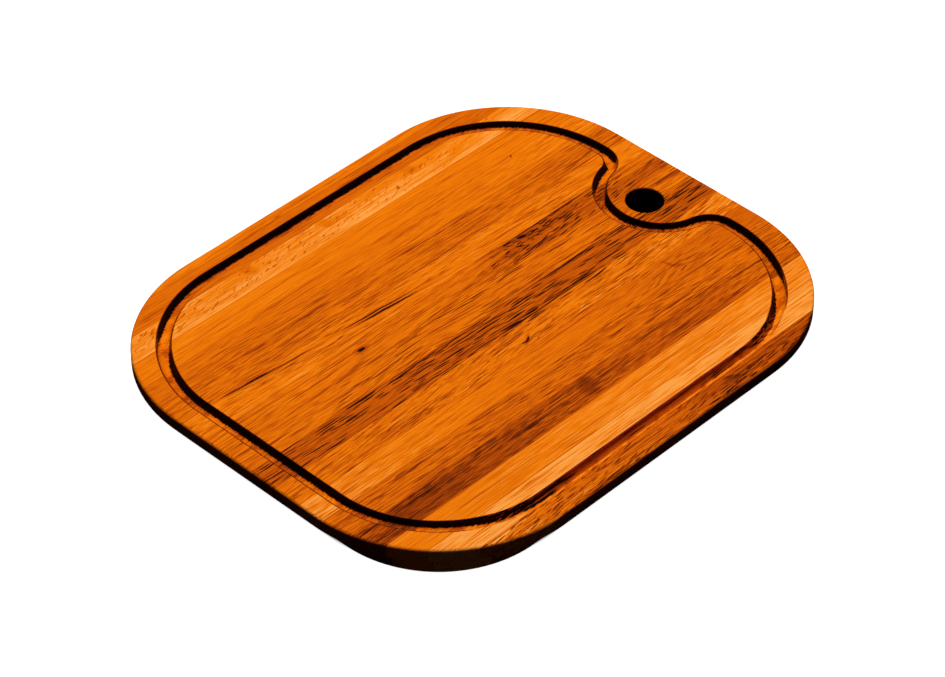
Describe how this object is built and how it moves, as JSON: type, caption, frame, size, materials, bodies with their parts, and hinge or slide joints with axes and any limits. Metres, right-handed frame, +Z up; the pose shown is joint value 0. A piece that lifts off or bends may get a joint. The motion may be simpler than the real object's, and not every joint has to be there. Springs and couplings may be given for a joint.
{
  "type": "chopping board",
  "caption": "Rounded rectangular wooden chopping board glued from staves, with a rebated rim that drops into a sink bowl, a juice groove and a finger hole.",
  "frame": {"origin": "centre of the underside", "axes": "+X along the grain towards the finger hole, +Y across the staves, +Z up out of the cutting face"},
  "size_m": [0.41, 0.34, 0.023],
  "materials": {
    "wood_pale": "oiled satin, palest staves",
    "wood_golden": "oiled satin, golden staves",
    "wood_orange": "oiled satin, orange-brown staves",
    "wood_brown": "oiled satin, brown staves",
    "wood_dark": "oiled satin, dark streaked staves"
  },
  "bodies": {
    "root": {"back_edge_stave": "wood_golden", "stave_01": "wood_orange", "stave_02": "wood_pale", "stave_03": "wood_golden", "stave_04": "wood_orange", "stave_05": "wood_orange", "stave_06": "wood_golden", "stave_07": "wood_brown", "stave_08": "wood_golden", "stave_09": "wood_dark", "stave_10": "wood_golden", "stave_11": "wood_golden", "stave_12": "wood_brown", "stave_13": "wood_dark", "stave_14": "wood_golden", "stave_15": "wood_pale", "front_edge_stave": "wood_brown"}
  },
  "joints": []
}
